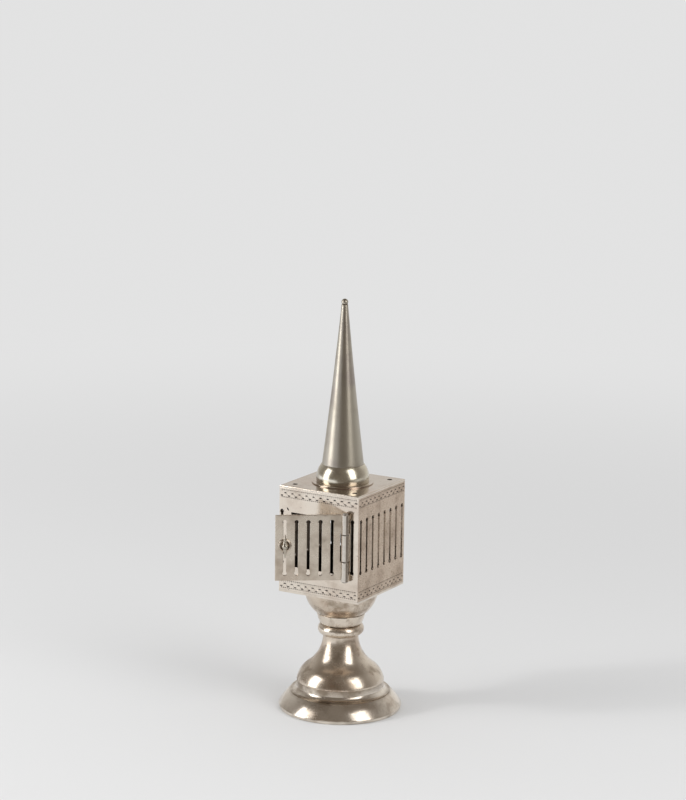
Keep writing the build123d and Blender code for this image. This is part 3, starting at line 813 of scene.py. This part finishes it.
wallLooks = [sheetSilver, engravedLines, tarnishAndShadeInside, sheetSilver]
shadedSideLooks = [tarnishedShadedSheet, engravedLines, tarnishAndShadeInside, tarnishedShadedSheet]
nick = {"x": -12.7, "up": 74.9, "length": 1.4, "width": 0.55, "slant": -0.95, "depth": 0.25}
for i, node in enumerate(("right_wall", "back_wall", "left_wall")):
    holes = [keyhole(x, seed=50 * i + 9 * k) for k, x in enumerate(slotColumns())]
    bright = boxShape["holeEase"] + boxShape["brightStep"]
    if node == "right_wall":
        bright = boxShape["bright"]
    sheet = wallSheet(holes, wallCuts(seed=17 + 31 * i), bright)
    turn = Matrix.Rotation(radians(90 * (i + 1)), 4, "Z")
    sheetPiece(node.replace("_w", "W"), node, sheet, turn @ onFront(frontY), shadedSideLooks)

sillHeight, headHeight = doorLow + doorShape["sillLap"], doorHigh - doorShape["headLap"]
doorway = [(doorwayLeft, sillHeight), (doorwayRight, sillHeight)]
doorway += [(doorwayRight, headHeight), (doorwayLeft, headHeight)]
eye, knuckleRight = boxShape["slotEye"] / 2, hinge.x + doorShape["knuckle"]
beside = [x for x in slotColumns() if x + eye < doorLeft or x - eye > knuckleRight]
frontColumns = [x + boxShape["frontShift"] for x in beside]
frontHoles = [keyhole(x, seed=211 + 9 * k) for k, x in enumerate(frontColumns)] + [doorway]
frontCuts = wallCuts(seed=5) + [engravedCut(*nick.values(), seed=3)]
frontSheet = wallSheet(frontHoles, frontCuts, boxShape["bright"])
sheetPiece("frontWall", "front_wall", frontSheet, onFront(frontY), wallLooks)


def plateSheet(holes, ease):
    half = side / 2
    outline = [(-half, -half), (half, -half), (half, half), (-half, half)]
    # the countersunk rims of the holes take the dark engraved colour: painted shade in the holes
    return {
        "outline": outline, "holes": holes, "thick": boxShape["sheet"], "ease": ease, "rim": engraved,
        "holeEase": boxShape["countersink"], "bright": boxShape["countersink"] + boxShape["brightStep"],
    }


def circle(x, y, radius):
    return circleArc(x, y, radius, 0, 2 * pi, step=0.15)[:-1]


spread = side / 2 - boxShape["pennantInset"]
corners = [(x, y) for x in (-spread, spread) for y in (-spread, spread)]
pennants = [circle(x, y, boxShape["pennantHole"]) for x, y in corners]
topPlace = Matrix.Translation((0, 0, boxHigh))
topHoles = pennants + [circle(0, 0, boreRadius)]
plateLooks = [plateSilver, engravedLines, tarnishAndShadeInside, sheetSilver]
topSheet = plateSheet(topHoles, boxShape["plateEase"])
sheetPiece("topPlate", "top_plate", topSheet, topPlace, plateLooks)
floorPlace = Matrix.Translation((0, 0, boxLow)) @ Matrix.Rotation(pi, 4, "X")
lowSheet = plateSheet([circle(0, 0, boreRadius)], boxShape["floorEase"])
sheetPiece("floorPlate", "floor_plate", lowSheet, floorPlace, plateLooks)
print("box made")

# Door, hinge and catch
hingeEdge, notchEdge = hinge.x - doorShape["hingeEdge"], hinge.x - doorShape["notch"]
notchHalf = doorShape["notchHeight"] / 2
notchLow, notchHigh = hinge.z - notchHalf, hinge.z + notchHalf
doorOutline = [
    (doorLeft, doorLow), (hingeEdge, doorLow), (hingeEdge, notchLow), (notchEdge, notchLow),
    (notchEdge, notchHigh), (hingeEdge, notchHigh), (hingeEdge, doorHigh), (doorLeft, doorHigh),
]
firstColumn = hinge.x - doorShape["slotStart"]
doorColumns = [firstColumn - i * boxShape["slotPitch"] for i in range(doorShape["slots"])]
doorSheet = {
    "outline": doorOutline, "holes": [keyhole(x, seed=401 + 9 * k) for k, x in enumerate(doorColumns)],
    "thick": doorShape["sheet"], "ease": doorShape["ease"], "holeEase": doorShape["ease"],
    "bright": doorShape["bright"],
}
sheetPiece("piercedDoor", "door_panel", doorSheet, ajarTurn @ onFront(doorFace), [doorSilver] * 4)

hingeShape = {
    "barrel": 1.4, "bore": 0.65, "ease": 0.16, "leaf": 1.5, "leafFrom": 1.0, "turns": 56, "seam": 0.22,
}
barrels = {
    "lowerBarrel": "door_lower_knuckle", "middleBarrel": "hinge_box_knuckle",
    "upperBarrel": "door_upper_knuckle",
}
onHinge = Matrix.Translation((hinge.x, hinge.y, 0))
bore, barrel = hingeShape["bore"], hingeShape["barrel"]
for name, node in barrels.items():
    low, high = [corner.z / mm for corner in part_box(node)]
    mesh = bmesh.new()
    tube = [(bore, low), (barrel, low), (barrel, high), (bore, high)]
    spin(
        mesh, tube, onHinge, hingeShape["turns"], hingeShape["ease"], seams=(low, high),
        seamWidth=hingeShape["seam"],
    )
    if node == "hinge_box_knuckle":
        depth = frontY - hinge.y - hingeShape["leafFrom"]
        size = Matrix.Diagonal((hingeShape["leaf"], depth, high - low, 1))
        leafPlace = Matrix.Translation((hinge.x, frontY - depth / 2, hinge.z))
        bmesh.ops.create_cube(mesh, size=1, matrix=leafPlace @ size)
    finishPiece(name, mesh, [hingeSilver], node)

catchShape = {
    "ring": 2.3, "rim": 0.95, "height": 0.7, "floor": 0.2, "hole": 0.48, "lift": 1.55, "ball": 1.12,
    "waist": 0.75, "tip": 0.15, "half": 4.2, "slim": 0.46, "slimAt": 0.48, "spindle": 0.43,
    "rivet": 0.7, "rivetHeight": 0.35, "reach": 2.75,
}
catchAt = ajarTurn.inverted() @ (Vector(joints["latch_turn"]["pos_m"]) / mm)
catchAt.y = doorFace
spindlePlace = ajarTurn @ Matrix.Translation(catchAt) @ Matrix.Rotation(pi / 2, 4, "X")
ringSide, ringInner = catchShape["ring"], catchShape["ring"] - catchShape["rim"]
crest = ((ringSide + ringInner) / 2, catchShape["height"])
ring = [(catchShape["hole"], 0)]
ring += arc((ringSide, 0), crest, (ringInner, catchShape["floor"]), step=0.1)
ring += [(catchShape["hole"], catchShape["floor"])]
# the hollow of the dish takes strong darkening: grime and painted shade inside the rim
ringSpin = {"placeAt": spindlePlace, "turns": 64, "ease": 0.05, "seamWidth": 0.8}
turnedPiece("catchRing", "latch_rosette", ring, catchSilver, **ringSpin)

mesh = bmesh.new()
ball, waist, tip, half = (catchShape[key] for key in ("ball", "waist", "tip", "half"))
waistHeight = sqrt(ball**2 - waist**2)
slim = (catchShape["slim"], (waistHeight + half) * catchShape["slimAt"])
tail = arc((waist, waistHeight), slim, (tip, half), step=0.3)
knobSide = arc((waist, -waistHeight), (ball, 0), (waist, waistHeight), step=0.12)
knob = [(0, -half)] + [(x, -y) for x, y in reversed(tail)] + knobSide + tail + [(0, half)]
knobPlace = ajarTurn @ Matrix.Translation(catchAt - Vector((0, catchShape["lift"], 0)))
spin(mesh, knob, knobPlace, turns=40)
lift, shank, rivet = (catchShape[key] for key in ("lift", "spindle", "rivet"))
rivetTop = -catchShape["reach"]
rivetEnd = rivetTop - catchShape["rivetHeight"]
spindle = [(0, lift), (shank, lift), (shank, rivetTop)]
spindle += [(rivet, rivetTop), (rivet, rivetEnd), (0, rivetEnd)]
spin(mesh, spindle, spindlePlace, turns=32)
finishPiece("catchKnob", mesh, [knobSilver], "latch_knob")
for node, slotName in slotOf.items():
    if slotName == "steel":
        steel = frame["nodes"][node].data.materials
        steel.clear()
        steel.append(drawnSteel)
print("door, hinge and catch made")

# Stage: a pale floor, two tall soft boxes and a small lamp, a room that is dim towards the camera, and
# the camera of the photograph
stageLook = {
    "floorColour": 0.80, "floorRadius": 9.0, "floorDrop": 0.00005, "glow": (0.14, 0.7),
    "paleness": 0.765, "ambient": 0.615, "aim": 0.07,
}
cameraLook = {
    "away": 0.914, "height": 0.3057, "around": radians(30.68), "down": radians(11.91),
    "aside": radians(0.015), "roll": radians(0.7), "focalShare": 2645 / 800, "sensor": 36, "near": 0.05,
}
towardsCamera = Vector((sin(cameraLook["around"]), -cos(cameraLook["around"]), 0))
rightOfCamera = Vector((cos(cameraLook["around"]), sin(cameraLook["around"]), 0))
# sizes are width and height, and the metal mirrors a lamp that is inMetal
lamps = {
    "leftSoftBox": {"around": -78, "up": 19, "size": (0.40, 0.72), "radiance": 3.3, "inMetal": True},
    "rightSoftBox": {"around": 47, "up": 29, "size": (0.44, 0.80), "radiance": 2.7, "inMetal": True},
    "keyLamp": {"around": -77, "up": 28, "size": (0.09, 0.09), "radiance": 45, "inMetal": False},
}
lampDistance = 0.9
roomLook = {
    "dim": colour(0.19, 0.165, 0.14), "pale": colour(0.76, 0.745, 0.72), "from": 60, "to": 150,
    "leftShare": 0.76, "overhead": (0.45, 0.9),
}
# stretches of floor that glow only in glossy rays, painted reflections: dim at the right and in front, bright at
# the left
dimFloor, brightFloor = roomLook["dim"], colour(1.25, 1.29, 1.40)
mirrorFloors = [
    {"around": 62, "half": 36, "fade": 50, "near": (0.1, 0.2), "far": (0.45, 0.7), "glow": dimFloor},
    {"around": 0, "half": 40, "fade": 65, "near": (0.36, 0.52), "far": (8, 9), "glow": dimFloor},
    {"around": -75, "half": 38, "fade": 56, "near": (0.4, 0.55), "far": (8, 9), "glow": brightFloor},
]


def softBox(name, look):
    # around is degrees to the right of the camera, up is degrees above the floor
    around, up = radians(look["around"]), radians(look["up"])
    level = towardsCamera * cos(around) + rightOfCamera * sin(around)
    light = bpy.data.lights.new(name, "AREA")
    light.shape = "RECTANGLE"
    width, height = look["size"]
    light.size, light.size_y = width, height
    light.energy = look["radiance"] * pi * width * height
    lamp = bpy.data.objects.new(name, light)
    aim = Vector((0, 0, stageLook["aim"]))
    lamp.location = aim + (level * cos(up) + Vector((0, 0, sin(up)))) * lampDistance
    lamp.rotation_euler = (aim - lamp.location).to_track_quat("-Z", "Y").to_euler()
    lamp.visible_camera = False
    lamp.visible_glossy = look["inMetal"]
    bpy.context.scene.collection.objects.link(lamp)


for name, look in lamps.items():
    softBox(name, look)


def seenPale(start):
    # camera, glossy and clear rays
    kinds = ("Is Camera Ray", "Is Glossy Ray", "Is Transmission Ray")
    rays = [start.add("LightPath", out=kind) for kind in kinds]
    return rays[0].max(rays[1]).max(rays[2])


def along(place, direction):
    # how far place lies in a direction
    return place.add("VectorMath", {"operation": "DOT_PRODUCT"}, {0: place, 1: direction}, "Value")


def headingOf(place):
    # angle to the right of the camera's side, in radians
    ends = {0: along(place, rightOfCamera), 1: along(place, towardsCamera)}
    return place.add("Math", {"operation": "ARCTAN2"}, ends)


world = bpy.data.worlds.new("paleRoom")
bpy.context.scene.world = world
world.use_nodes = True
world.node_tree.nodes.clear()
start = Wire(world.node_tree)
ray = start.add("TexCoord", out="Generated")
turn = headingOf(ray)
turn = turn.max(turn * -roomLook["leftShare"])
overhead = start.add("SeparateXYZ", {}, {0: ray}, "Z").rise(*roomLook["overhead"])
share = turn.rise(radians(roomLook["from"]), radians(roomLook["to"])) * (1 - overhead)
room = share.mix(roomLook["dim"], roomLook["pale"])
pale = seenPale(start)
glossy = start.add("LightPath", out="Is Glossy Ray")
white = stageLook["paleness"]
seen = glossy.mix(colour(white, white, white), room)
soft = stageLook["ambient"]
light = pale.mix(colour(soft, soft, soft), seen)
background = start.add("Background", {}, {"Color": light, "Strength": 1.0})
start.add("OutputWorld", {}, {"Surface": background})

mesh = bmesh.new()
bmesh.ops.create_circle(mesh, cap_ends=True, segments=96, radius=stageLook["floorRadius"])
data = bpy.data.meshes.new("floor")
mesh.to_mesh(data)
mesh.free()
floorSheet = bpy.data.objects.new("floor", data)
floorSheet.location.z = -stageLook["floorDrop"]
bpy.context.scene.collection.objects.link(floorSheet)
material, start = newMaterial("paleFloor")
material.cycles.emission_sampling = "NONE"  # less grain in the metal
place = start.add("TexCoord", out="Object")
away = start.add("VectorMath", {"operation": "LENGTH"}, {0: place}, "Value")
far = away.rise(*stageLook["glow"]) * seenPale(start)
shade = stageLook["floorColour"]
paper = start.add("BsdfDiffuse", {}, {"Color": colour(shade, shade, shade)})
glow = start.add("Emission", {}, {"Color": colour(1, 1, 1), "Strength": stageLook["paleness"]})
floorMix = start.add("MixShader", {}, {0: far, 1: paper, 2: glow})
heading = headingOf(place)
glossy = start.add("LightPath", out="Is Glossy Ray")
for look in mirrorFloors:
    turn = heading - radians(look["around"])
    wedge = 1 - turn.max(turn * -1).rise(radians(look["half"]), radians(look["fade"]))
    share = wedge * away.rise(*look["near"]) * (1 - away.rise(*look["far"])) * glossy
    mirrored = start.add("Emission", {}, {"Color": look["glow"], "Strength": 1.0})
    floorMix = start.add("MixShader", {}, {0: share, 1: floorMix, 2: mirrored})
start.add("OutputMaterial", {}, {"Surface": floorMix})
data.materials.append(material)

camera = bpy.data.cameras.new("photoCamera")
camera.lens = cameraLook["focalShare"] * cameraLook["sensor"]
camera.sensor_width = cameraLook["sensor"]
camera.clip_start = cameraLook["near"]
cameraHolder = bpy.data.objects.new("photoCamera", camera)
bpy.context.scene.collection.objects.link(cameraHolder)
facingTurn, down = cameraLook["around"] + cameraLook["aside"], cameraLook["down"]
level = Vector((-sin(facingTurn), cos(facingTurn), 0))
ahead = level * cos(down) - Vector((0, 0, sin(down)))
cameraHolder.location = towardsCamera * cameraLook["away"] + Vector((0, 0, cameraLook["height"]))
facing = ahead.to_track_quat("-Z", "Y").to_matrix().to_4x4()
rolled = facing @ Matrix.Rotation(cameraLook["roll"], 4, "Z")
cameraHolder.rotation_euler = rolled.to_euler()
bpy.context.scene.camera = cameraHolder
bpy.context.scene.view_settings.view_transform = "Standard"
print("stage and camera set")
